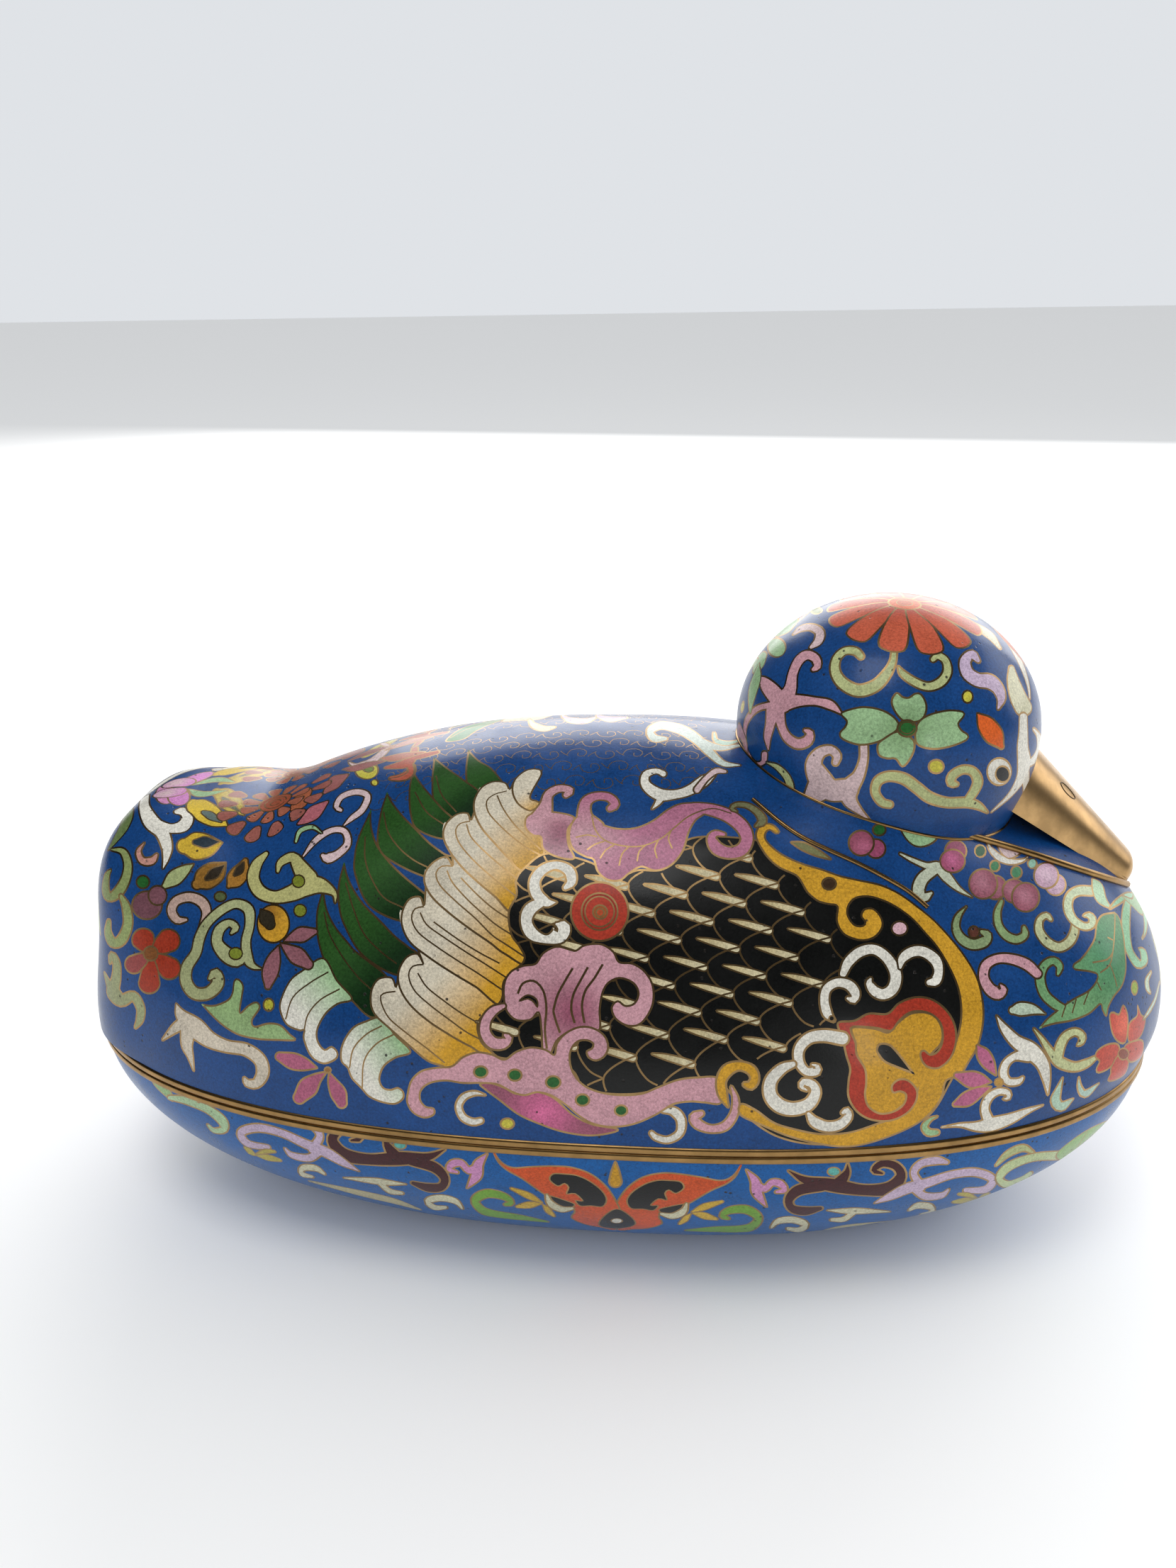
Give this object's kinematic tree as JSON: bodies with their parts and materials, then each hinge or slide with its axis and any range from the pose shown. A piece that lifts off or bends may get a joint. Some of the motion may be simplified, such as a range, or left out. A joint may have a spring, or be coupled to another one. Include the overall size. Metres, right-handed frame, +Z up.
{
  "type": "duck-shaped cloisonne enamel box",
  "caption": "Resting duck box in cloisonne enamel: the back, breast and head lift off as one hollow lid from a shallow bowl, meeting in brass bands, with a cast brass beak.",
  "frame": {"origin": "middle of the underside, on the surface that the box stands on", "axes": "+X towards the beak, along the duck's length; +Z up; +Y to the duck's left"},
  "size_m": [0.2229, 0.1136, 0.123],
  "materials": {
    "lid_enamel": "polished cobalt blue cloisonne enamel with gilt copper wires",
    "base_enamel": "polished bright blue cloisonne enamel with gilt copper wires",
    "brass": "aged, rubbed brass",
    "beak_brass": "rubbed gilt brass, brown in the hollows"
  },
  "bodies": {
    "root": {"lid": "lid_enamel", "lid_rim": "brass", "beak": "beak_brass", "base": "base_enamel", "base_rim": "brass"}
  },
  "joints": []
}
